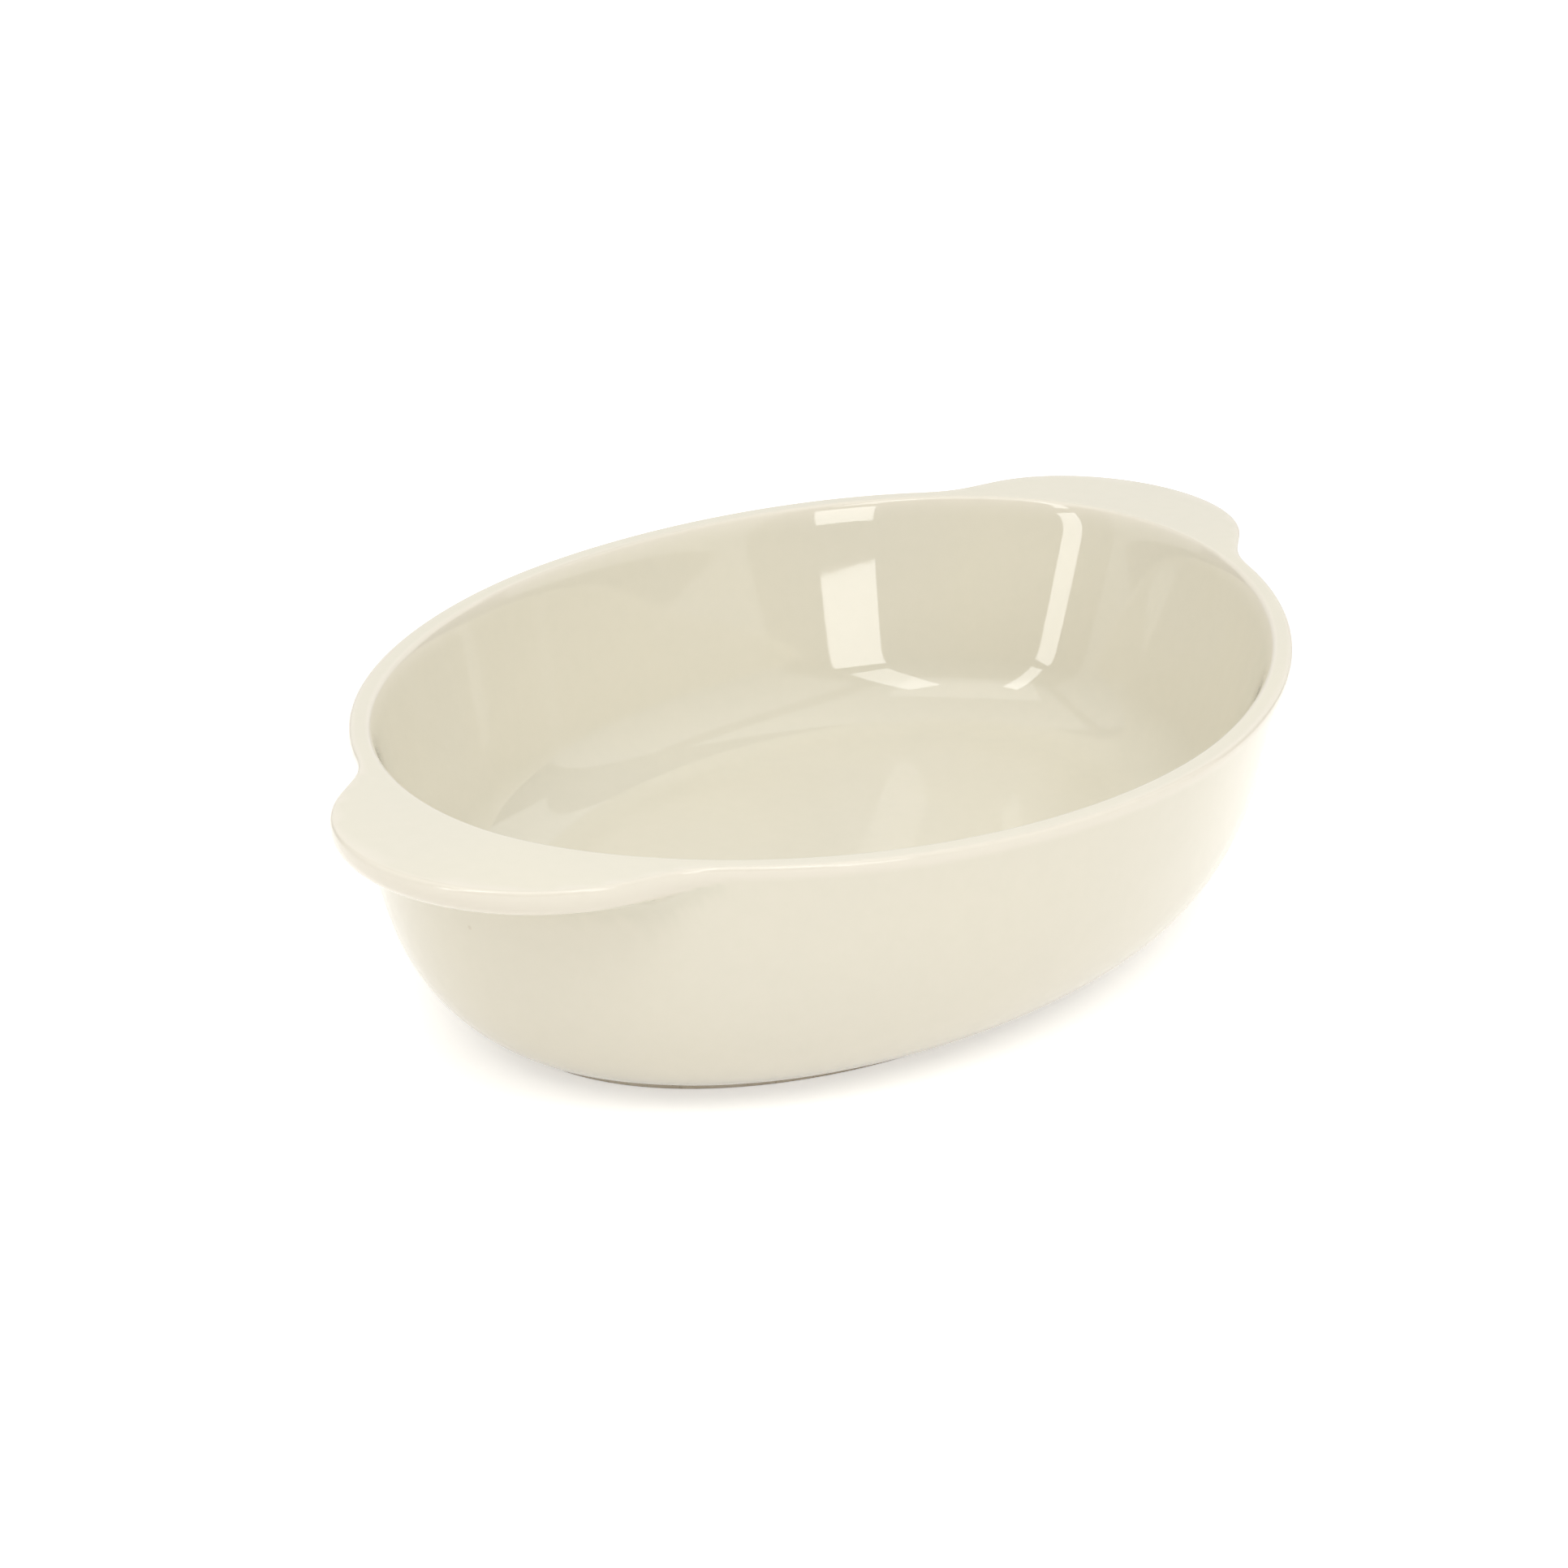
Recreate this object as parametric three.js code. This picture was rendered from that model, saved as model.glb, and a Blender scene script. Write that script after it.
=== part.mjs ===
// Oval stoneware baking dish: a glazed vessel with a tab handle at each end, on a low foot.
// Millimetres, +Z up. X runs from handle to handle and Y across the dish.
// The origin lies on the table, under the middle of the foot.
import * as THREE from 'three';

// Rim, seen from above: an oval whose exponent is 2 for a true ellipse
const rimHalfLength = 120;
const rimHalfWidth = 84.2;
const ovalExponent = 1.92;

// Heights: the rim stands higher at the ends than along the sides, and is level past the ends.
// The last two are shares of the half length.
const sideHeight = 54;
const endRise = 3;
const riseEaseStart = 0.85;
const riseEaseRun = 0.3;

// Rim, in section: a flat top between two small rounds, over a fuller round outside and a flare inside
const rimTopWidth = 2.5;
const outerEdgeRadius = 0.9;
const outerEdgeTurn = 10;
const noseRadius = 3.7;
const innerEdgeRadius = 1.2;
const flareTurn = 27;
const flareRadius = 15;

// Outer wall: it leaves the rim at a draft, runs down and turns in to the heel above the foot
const wallDraft = 9;
const wallRun = 28;
const heelInset = 23.2;
const heelSlope = 27;
const heelRun = 19.5;

// Inside: the wall leans more than outside, thickens downwards and sweeps out into a flat floor
const innerDraft = 12.5;
const innerWallRun = 16;
const heelThickness = 8.7;
const floorThickness = 5.6;
const floorSetback = 7.8;

// Foot: an unglazed ring under the vessel, set in from the heel
const footHeight = 2.4;
const footSetback = 3;
const footWidth = 7;
const footEdgeRadius = 0.7;

// Handles: round-ended tabs, level with the rim, on flanks that spread towards it
const handleReach = 20.4;
const handleTipRadius = 34.3;
const handleFlankTurn = 67;
const handleFlankEase = 1.2;
const handleNoseTaper = 9;
const handleUnderslope = 4;
const handleFillet = 6;
const filletStartShare = 0.6;

// Joint line between pieces that are formed apart and joined before firing
const jointGap = 0.3;

// Smoothness
const ovalSteps = 96;
const wallSteps = 11;
const rimNoseSteps = 2;
const edgeSteps = 5;
const flareSteps = 3;
const footEdgeSteps = 2;
const handleOutlineSteps = 22;
const handleTopSteps = 3;
const handleNoseSteps = 6;
const undersideSteps = 7;
const seatSteps = 7;
const bisectRounds = 40;

// Sizes that follow from the ones above
const floorTop = footHeight + floorThickness;
const floorInset = heelInset + floorSetback;
const footInset = heelInset + footSetback;
const handleCentre = rimHalfLength + handleReach - handleTipRadius;

const toRadians = THREE.MathUtils.degToRad;

/** A point of the oval outline at a turn, for the given half axes. */
function ovalPoint(turn, halfLength, halfWidth) {
  const along = Math.cos(turn);
  const across = Math.sin(turn);
  const power = 2 / ovalExponent;
  const x = halfLength * Math.sign(along) * Math.abs(along) ** power;
  const y = halfWidth * Math.sign(across) * Math.abs(across) ** power;
  return new THREE.Vector2(x, y);
}

/** How much higher than at the middle of a long side the rim stands at this x. */
function rimLift(x) {
  const along = Math.abs(x) / rimHalfLength;
  const curved = Math.min(along, riseEaseStart) ** 2;
  const eased = THREE.MathUtils.clamp(along - riseEaseStart, 0, riseEaseRun);
  return endRise * (curved + riseEaseStart * eased * (2 - eased / riseEaseRun));
}

/** The share of the rim's lift at a height: nothing on the floor, all of it at the top. */
function liftShare(height) {
  return THREE.MathUtils.clamp((height - floorTop) / (sideHeight - floorTop), 0, 1);
}

/** Where a profile point lies at a turn: x is the inset from the rim's outline, y the height. */
function ovalPlace(turn, profilePoint) {
  const inset = profilePoint.x;
  const height = profilePoint.y;
  const outline = ovalPoint(turn, rimHalfLength - inset, rimHalfWidth - inset);
  const lift = rimLift(outline.x) * liftShare(height);
  return new THREE.Vector3(outline.x, outline.y, height + lift);
}

/** A ring round the dish at a profile point. */
function ovalRing(profilePoint) {
  const ring = [];
  for (let step = 0; step < ovalSteps; step += 1) {
    ring.push(ovalPlace((2 * Math.PI * step) / ovalSteps, profilePoint));
  }
  return ring;
}

/** Where a falling or rising function crosses zero between two values. */
function bisect(test, low, high) {
  const lowIsPositive = test(low) > 0;
  let near = low;
  let far = high;
  for (let round = 0; round < bisectRounds; round += 1) {
    const middle = (near + far) / 2;
    if ((test(middle) > 0) === lowIsPositive) {
      near = middle;
    } else {
      far = middle;
    }
  }
  return (near + far) / 2;
}

/** Adds a fan from a ring's middle to its edge, facing up or down, to close the end of a loft. */
function addFan(positions, indices, ring, firstIndex, facesUp) {
  const middle = new THREE.Vector3();
  ring.forEach((point) => middle.addScaledVector(point, 1 / ring.length));
  const middleIndex = positions.length / 3;
  positions.push(...middle.toArray());
  for (let step = 0; step < ring.length; step += 1) {
    const here = firstIndex + step;
    const beside = firstIndex + ((step + 1) % ring.length);
    if (facesUp) {
      indices.push(middleIndex, here, beside);
    } else {
      indices.push(middleIndex, beside, here);
    }
  }
}

/** Skins rings that run anticlockwise; a looped row joins its last ring to its first. */
function loft(rings, looped = false) {
  const count = rings[0].length;
  const positions = rings.flat().flatMap((point) => point.toArray());
  const indices = [];
  const spans = looped ? rings.length : rings.length - 1;
  for (let row = 0; row < spans; row += 1) {
    const nextRow = (row + 1) % rings.length;
    for (let step = 0; step < count; step += 1) {
      const nextStep = (step + 1) % count;
      const here = row * count + step;
      const beside = row * count + nextStep;
      const above = nextRow * count + step;
      const across = nextRow * count + nextStep;
      indices.push(here, beside, across, here, across, above);
    }
  }
  if (!looped) {
    const lastRow = rings.length - 1;
    addFan(positions, indices, rings[0], 0, false);
    addFan(positions, indices, rings[lastRow], lastRow * count, true);
  }
  return { positions: new Float32Array(positions), indices: new Uint32Array(indices) };
}

/** A mesh geometry from vertex places and triangle corners. */
function toGeometry({ positions, indices }) {
  const geometry = new THREE.BufferGeometry();
  geometry.setAttribute('position', new THREE.BufferAttribute(positions, 3));
  geometry.setIndex(new THREE.BufferAttribute(indices, 1));
  geometry.computeVertexNormals();
  return geometry;
}

/** Points of an arc in profile space, from one angle to another in degrees. */
function profileArc(centre, radius, fromAngle, toAngle, steps) {
  const points = [];
  for (let step = 0; step <= steps; step += 1) {
    const angle = toRadians(THREE.MathUtils.lerp(fromAngle, toAngle, step / steps));
    const offset = new THREE.Vector2(Math.cos(angle), Math.sin(angle)).multiplyScalar(radius);
    points.push(offset.add(centre));
  }
  return points;
}

/** The direction at an angle in degrees. In profile space, x grows inwards from the rim's outline. */
function heading(angle) {
  return new THREE.Vector2(Math.cos(toRadians(angle)), Math.sin(toRadians(angle)));
}

/** The middles of an outer edge's two rounds, for an edge that stands this far past the rim's outline. */
function outerRounds(reach, edgeRadius, nose) {
  const step = nose - edgeRadius;
  const drop = edgeRadius + step * heading(outerEdgeTurn).y;
  const noseCentre = new THREE.Vector2(nose - reach, sideHeight - drop);
  const edgeCentre = noseCentre.clone().addScaledVector(heading(180 - outerEdgeTurn), step);
  return { noseCentre, edgeCentre };
}

// The middles of the rim's rounds, in profile space
const rimOutside = outerRounds(0, outerEdgeRadius, noseRadius);
const innerEdgeCentre = new THREE.Vector2(outerEdgeRadius + rimTopWidth, sideHeight - innerEdgeRadius);
const flareStep = innerEdgeRadius - flareRadius;
const flareCentre = innerEdgeCentre.clone().addScaledVector(heading(flareTurn), flareStep);

/** The direction down a wall that leans inwards by a draft angle in degrees. */
function downWall(draft) {
  return new THREE.Vector2(Math.sin(toRadians(draft)), -Math.cos(toRadians(draft)));
}

/** The outer wall from the rim down to the heel. */
function outerWallCurve() {
  const top = rimOutside.noseCentre.clone().addScaledVector(heading(wallDraft), -noseRadius);
  const heel = new THREE.Vector2(heelInset, footHeight);
  const slope = toRadians(heelSlope);
  const alongHeel = new THREE.Vector2(-Math.cos(slope), Math.sin(slope));
  return new THREE.CubicBezierCurve(
    top,
    top.clone().addScaledVector(downWall(wallDraft), wallRun),
    heel.clone().addScaledVector(alongHeel, heelRun),
    heel,
  );
}

/** The inner wall from the flare down to the flat floor; it turns in where the outer wall does. */
function innerWallCurve() {
  const top = flareCentre.clone().addScaledVector(heading(innerDraft), flareRadius);
  const outerTurn = outerWallCurve().v2;
  return new THREE.CubicBezierCurve(
    top,
    top.clone().addScaledVector(downWall(innerDraft), innerWallRun),
    new THREE.Vector2(outerTurn.x + heelThickness, floorTop),
    new THREE.Vector2(floorInset, floorTop),
  );
}

/** The vessel: underside, outer wall, rim, inner wall and floor, lofted round the oval. */
function dishBody() {
  const { noseCentre, edgeCentre } = rimOutside;
  const faceTop = 180 - outerEdgeTurn;
  const outside = outerWallCurve().getPoints(wallSteps).reverse();
  const nose = profileArc(noseCentre, noseRadius, 180 + wallDraft, faceTop, rimNoseSteps);
  const outerEdge = profileArc(edgeCentre, outerEdgeRadius, faceTop, 90, edgeSteps);
  const innerEdge = profileArc(innerEdgeCentre, innerEdgeRadius, 90, flareTurn, edgeSteps);
  const flare = profileArc(flareCentre, flareRadius, flareTurn, innerDraft, flareSteps);
  const inside = innerWallCurve().getPoints(wallSteps);
  const rim = [...nose.slice(1), ...outerEdge.slice(1), ...innerEdge, ...flare.slice(1, -1)];
  const profile = [...outside, ...rim, ...inside];
  return loft(profile.map(ovalRing));
}

/** The inset of the vessel's outer surface at a height, grown by the joint line. */
function seatInset(height) {
  const { noseCentre, edgeCentre } = rimOutside;
  const edgeSeat = outerEdgeRadius + jointGap;
  const noseSeat = noseRadius + jointGap;
  const aboveEdge = height - edgeCentre.y;
  const aboveNose = height - noseCentre.y;
  if (aboveEdge > edgeSeat * heading(outerEdgeTurn).y) {
    return edgeCentre.x - Math.sqrt(edgeSeat ** 2 - aboveEdge ** 2);
  }
  if (aboveNose > -noseSeat * heading(wallDraft).y) {
    return noseCentre.x - Math.sqrt(noseSeat ** 2 - aboveNose ** 2);
  }
  const wall = outerWallCurve();
  const along = bisect((share) => wall.getPoint(share).y - height, 0, 1);
  return wall.getPoint(along).x - jointGap / heading(wallDraft).x;
}

/** How far past the rim's outline a point of the plan lies, measured along the oval's own insets. */
function reachPastRim(point) {
  const beyond = (reach) => {
    const along = Math.abs(point.x / (rimHalfLength + reach)) ** ovalExponent;
    const across = Math.abs(point.y / (rimHalfWidth + reach)) ** ovalExponent;
    return along + across - 1;
  };
  return bisect(beyond, -rimHalfWidth / 2, rimHalfLength);
}

/** A handle's reach past the rim, eased so that its flank runs out into the rim in a hollow curve. */
function easedReach(reach) {
  return (reach + Math.hypot(reach, 2 * handleFlankEase)) / 2;
}

/** The turn of the oval, grown by the point's reach, that passes through the point. */
function turnOf(point, reach) {
  const along = Math.abs(point.x / (rimHalfLength + reach)) ** (ovalExponent / 2);
  const across = Math.abs(point.y / (rimHalfWidth + reach)) ** (ovalExponent / 2);
  return Math.atan2(across * Math.sign(point.y), along);
}

/** Half of a handle's outline from above, from its tip round to where the flank dies into the rim. */
function handleOutline() {
  const flankTurn = toRadians(handleFlankTurn);
  const flankAway = new THREE.Vector2(-Math.sin(flankTurn), Math.cos(flankTurn));
  const tipRun = handleTipRadius * flankTurn;
  const pointAt = (run) => {
    const turn = Math.min(run / handleTipRadius, flankTurn);
    const round = new THREE.Vector2(Math.cos(turn), Math.sin(turn)).multiplyScalar(handleTipRadius);
    const point = new THREE.Vector2(handleCentre, 0).add(round);
    return point.addScaledVector(flankAway, Math.max(run - tipRun, 0));
  };
  const pastJoint = (run) => easedReach(reachPastRim(pointAt(run))) - jointGap;
  const endRun = bisect(pastJoint, 0, tipRun + handleTipRadius);
  const outline = [];
  for (let step = 0; step <= handleOutlineSteps; step += 1) {
    const share = Math.sin((Math.PI / 2) * (step / handleOutlineSteps));
    outline.push(pointAt(endRun * share));
  }
  return outline;
}

/** A handle's section where it reaches this far: level top, edge, nose, underside, fillet and seat. */
function handleSection(reach) {
  const taper = Math.tanh(reach / handleNoseTaper);
  const edgeRadius = outerEdgeRadius * taper;
  const nose = noseRadius * taper;
  const fillet = handleFillet * Math.tanh(reach / (2 * handleFillet));
  const faceTop = 180 - outerEdgeTurn;
  const { noseCentre, edgeCentre } = outerRounds(reach, edgeRadius, nose);
  const edgeArc = profileArc(edgeCentre, edgeRadius, 90, faceTop, edgeSteps);
  const noseArc = profileArc(noseCentre, nose, faceTop, 270, handleNoseSteps);
  const topStart = new THREE.Vector2(seatInset(sideHeight), sideHeight);
  const underEdge = noseArc[handleNoseSteps];
  const cornerHeight = underEdge.y - reach * Math.tan(toRadians(handleUnderslope));
  const rootHeight = cornerHeight - fillet;
  const root = new THREE.Vector2(seatInset(rootHeight), rootHeight);
  const corner = new THREE.Vector2(root.x, cornerHeight);
  const filletStart = underEdge.clone().lerp(corner, filletStartShare);
  const underside = new THREE.CubicBezierCurve(underEdge, filletStart, corner, root);
  const section = [];
  for (let step = 0; step < handleTopSteps; step += 1) {
    section.push(topStart.clone().lerp(edgeArc[0], step / handleTopSteps));
  }
  section.push(...edgeArc, ...noseArc.slice(1), ...underside.getPoints(undersideSteps).slice(1));
  for (let step = 1; step < seatSteps; step += 1) {
    const climb = Math.sin((Math.PI / 2) * (step / seatSteps));
    const height = THREE.MathUtils.lerp(rootHeight, sideHeight, climb);
    section.push(new THREE.Vector2(seatInset(height), height));
  }
  return section;
}

/** A handle: its sections, lofted along the rim from the end of one flank to the end of the other. */
function handle() {
  const half = handleOutline();
  const mirrored = half.slice(1).reverse().map(({ x, y }) => new THREE.Vector2(x, -y));
  const stations = [...mirrored, ...half];
  return loft(stations.map((point) => {
    const reach = reachPastRim(point);
    const turn = turnOf(point, reach);
    return handleSection(easedReach(reach)).map((profilePoint) => ovalPlace(turn, profilePoint));
  }));
}

/** The foot: a low ring with a flat sole between two rounded edges. */
function footRing() {
  const outerEdge = new THREE.Vector2(footInset + footEdgeRadius, footEdgeRadius);
  const innerEdge = new THREE.Vector2(footInset + footWidth - footEdgeRadius, footEdgeRadius);
  const footTop = footHeight - jointGap;
  const profile = [
    ...profileArc(innerEdge, footEdgeRadius, 360, 270, footEdgeSteps),
    ...profileArc(outerEdge, footEdgeRadius, 270, 180, footEdgeSteps),
    new THREE.Vector2(footInset, footTop),
    new THREE.Vector2(footInset + footWidth, footTop),
  ];
  return loft(profile.map(ovalRing), true);
}

const glaze = new THREE.MeshStandardMaterial({ color: 0xefe8d8, roughness: 0.12, metalness: 0 });
const bareClay = new THREE.MeshStandardMaterial({ color: 0xe3d8c2, roughness: 0.9, metalness: 0 });

/** A named piece of the dish. */
function piece(name, geometry, material) {
  const mesh = new THREE.Mesh(geometry, material);
  mesh.name = name;
  return mesh;
}

const handleGeometry = toGeometry(handle());
const rightHandle = piece('right_handle', handleGeometry, glaze);
const leftHandle = piece('left_handle', handleGeometry, glaze);
leftHandle.rotation.z = Math.PI;

const dish = new THREE.Group();
dish.add(piece('dish_body', toGeometry(dishBody()), glaze));
dish.add(leftHandle);
dish.add(rightHandle);
dish.add(piece('foot_ring', toGeometry(footRing()), bareClay));

export default dish;
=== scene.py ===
"""Looks of an oval stoneware baking dish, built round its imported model.

One glazed shell holds the vessel and both tab handles, because the fired dish is one body, and
a bare clay foot carries it. Metres, +Z up: X runs from handle to handle and Y across the dish.
"""

import logging
import math
from dataclasses import dataclass, field
from enum import Enum

import bmesh
import bpy
import numpy as np
from mathutils import Matrix, Vector


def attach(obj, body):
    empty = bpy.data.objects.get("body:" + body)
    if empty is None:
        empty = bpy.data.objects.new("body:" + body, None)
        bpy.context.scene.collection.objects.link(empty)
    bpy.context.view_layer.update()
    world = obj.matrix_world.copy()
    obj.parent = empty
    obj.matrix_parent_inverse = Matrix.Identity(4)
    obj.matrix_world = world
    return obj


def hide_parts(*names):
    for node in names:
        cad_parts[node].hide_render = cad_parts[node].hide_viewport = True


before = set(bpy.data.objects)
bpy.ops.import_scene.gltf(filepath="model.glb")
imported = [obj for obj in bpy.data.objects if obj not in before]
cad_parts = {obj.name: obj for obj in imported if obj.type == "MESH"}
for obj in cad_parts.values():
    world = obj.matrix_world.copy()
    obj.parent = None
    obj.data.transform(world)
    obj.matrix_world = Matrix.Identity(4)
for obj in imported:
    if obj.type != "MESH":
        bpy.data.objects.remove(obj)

MM = 0.001
BODY = "root"
MERGE_REACH = 0.001 * MM
SAME_PLACE = 1e-9
QUARTERS = 4
WATTS_PER_RADIANCE = 4.0
LOG = logging.getLogger("baking_dish")

Colour = tuple[float, float, float]
Place = tuple[float, float, float]
Span = tuple[float, float]
Socket = bpy.types.NodeSocket

WHOLE: Span = (0.0, 1.0)
NOISE_CORE: Span = (0.35, 0.65)
NOISE_SPREAD: Span = (0.3, 0.7)


class Slot(Enum):
    """The record's material slots."""

    GLAZE = "glaze"
    BARE_CLAY = "bare_clay"


class Layer(Enum):
    """Values that a mesh carries on its points."""

    RING = "ring"
    # The glaze's depth, which also sets painted highlight on edges and painted shade in hollows.
    GLAZE_DEPTH = "glaze_depth_and_painted_light"


# Paths of a section: each is an array of points, with the inset from the rim and the height


def bezier_path(controls: list[np.ndarray], count: int) -> np.ndarray:
    """Points of a cubic curve.

    Args:
        controls: The curve's four control points.
        count: How many points to give.

    Returns:
        An array of points from the first control to the last.
    """
    along = np.linspace(0.0, 1.0, count)[:, None]
    back = 1.0 - along
    start, first, second, end = controls
    return (
        back**3 * start
        + 3 * back**2 * along * first
        + 3 * back * along**2 * second
        + along**3 * end
    )


def arc_path(centre: np.ndarray, radius: float, start: float, end: float, count: int) -> np.ndarray:
    """Points of an arc.

    Args:
        centre: The arc's centre.
        radius: The arc's radius.
        start: The angle of its first point, in degrees.
        end: The angle of its last point, in degrees.
        count: How many points to give.

    Returns:
        An array of points from the first angle to the last.
    """
    angles = np.radians(np.linspace(start, end, count))
    return centre + radius * np.column_stack([np.cos(angles), np.sin(angles)])


def heading(degrees: float) -> np.ndarray:
    """The unit vector at an angle in degrees."""
    return np.array([math.cos(math.radians(degrees)), math.sin(math.radians(degrees))])


def spread_points(
    path: np.ndarray, count: int, bend_weight: float
) -> tuple[np.ndarray, np.ndarray]:
    """Points spread along a path, closer together where it bends.

    Args:
        path: The path as a dense array of points.
        count: How many points to give.
        bend_weight: The length that a bend of one radian counts as.

    Returns:
        The points, and at each the path's signed bend in radians per metre.
    """
    steps = np.diff(path, axis=0)
    lengths = np.hypot(steps[:, 0], steps[:, 1])
    real = lengths > SAME_PLACE
    path = np.concatenate([path[:1], path[1:][real]])
    steps, lengths = steps[real], lengths[real]
    headings = np.unwrap(np.arctan2(steps[:, 1], steps[:, 0]))
    bends = np.diff(headings, append=headings[-1])
    run = np.concatenate([[0.0], np.cumsum(lengths + bend_weight * np.abs(bends))])
    wanted = np.linspace(0.0, run[-1], count)
    points = np.column_stack([np.interp(wanted, run, path[:, axis]) for axis in (0, 1)])
    curvature = np.interp(wanted, run[:-1], bends / lengths)
    return points, curvature


@dataclass(frozen=True)
class RimOval:
    """The rim's outline from above, and the way its crest rises towards the handles."""

    half_length: float = 120 * MM
    half_width: float = 84.2 * MM
    exponent: float = 1.92
    side_height: float = 54 * MM
    end_rise: float = 3 * MM
    rise_start: float = 8.0 * MM
    ease_start: float = 0.85
    ease_run: float = 0.3

    def outline(self, turn: np.ndarray, inset: np.ndarray) -> tuple[np.ndarray, np.ndarray]:
        """Where the oval lies.

        Args:
            turn: The turns round the dish, in radians.
            inset: How far inside the rim's outline it lies.

        Returns:
            The places along X and along Y.
        """
        along, across = np.cos(turn), np.sin(turn)
        power = 2.0 / self.exponent
        x = (self.half_length - inset) * np.sign(along) * np.abs(along) ** power
        y = (self.half_width - inset) * np.sign(across) * np.abs(across) ** power
        return x, y

    def place(self, turn: float, profile: np.ndarray) -> np.ndarray:
        """Where a section's points lie at a turn.

        Args:
            turn: The turn round the dish, in radians.
            profile: The section's points, as insets and heights.

        Returns:
            The points in the dish's frame.
        """
        inset, height = profile[:, 0], profile[:, 1]
        x, y = self.outline(np.full(len(profile), turn), inset)
        share = np.clip((height - self.rise_start) / (self.side_height - self.rise_start), 0, 1)
        return np.column_stack([x, y, height + self.rise(x) * share])

    def rise(self, x: np.ndarray) -> np.ndarray:
        """How far the crest stands above its height at the sides.

        Args:
            x: The places along X.

        Returns:
            The rise at each place: more and more towards the ends, then level past them.
        """
        along = np.abs(x) / self.half_length
        eased = np.clip(along - self.ease_start, 0, self.ease_run)
        curve = np.minimum(along, self.ease_start) ** 2
        return self.end_rise * (curve + self.ease_start * eased * (2 - eased / self.ease_run))


@dataclass(frozen=True)
class TabHandle:
    """A round-ended tab that runs on from the rim, seen from above."""

    reach: float = 20.4 * MM
    tip_radius: float = 34.3 * MM
    flank_turn: float = 68.0
    flank_ease: float = 1.0 * MM
    bisect_rounds: int = 40

    def reach_past_rim(self, oval: RimOval, turns: np.ndarray) -> np.ndarray:
        """How far the handles stand out past the rim.

        Args:
            oval: The rim.
            turns: The turns round the dish, in radians.

        Returns:
            The reach at each turn, which is nothing along the sides.
        """
        centre = oval.half_length + self.reach - self.tip_radius
        ease_run = 4 * self.flank_ease
        low = np.full(len(turns), -ease_run)
        high = np.full(len(turns), 2 * self.reach)
        flank = heading(self.flank_turn)
        for _ in range(self.bisect_rounds):
            middle = (low + high) / 2
            x, y = oval.outline(turns, -middle)
            x, y = np.abs(x) - centre, np.abs(y)
            on_tip = np.degrees(np.arctan2(y, x)) < self.flank_turn
            past = np.where(on_tip, np.hypot(x, y), x * flank[0] + y * flank[1]) - self.tip_radius
            low = np.where(past < 0, middle, low)
            high = np.where(past < 0, high, middle)
        along_side = np.abs(np.sin(turns)) > np.abs(np.cos(turns))
        raw = np.where(along_side, -ease_run, (low + high) / 2)
        return np.maximum(raw, 0) + np.maximum(ease_run - np.abs(raw), 0) ** 2 / (4 * ease_run)


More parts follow.
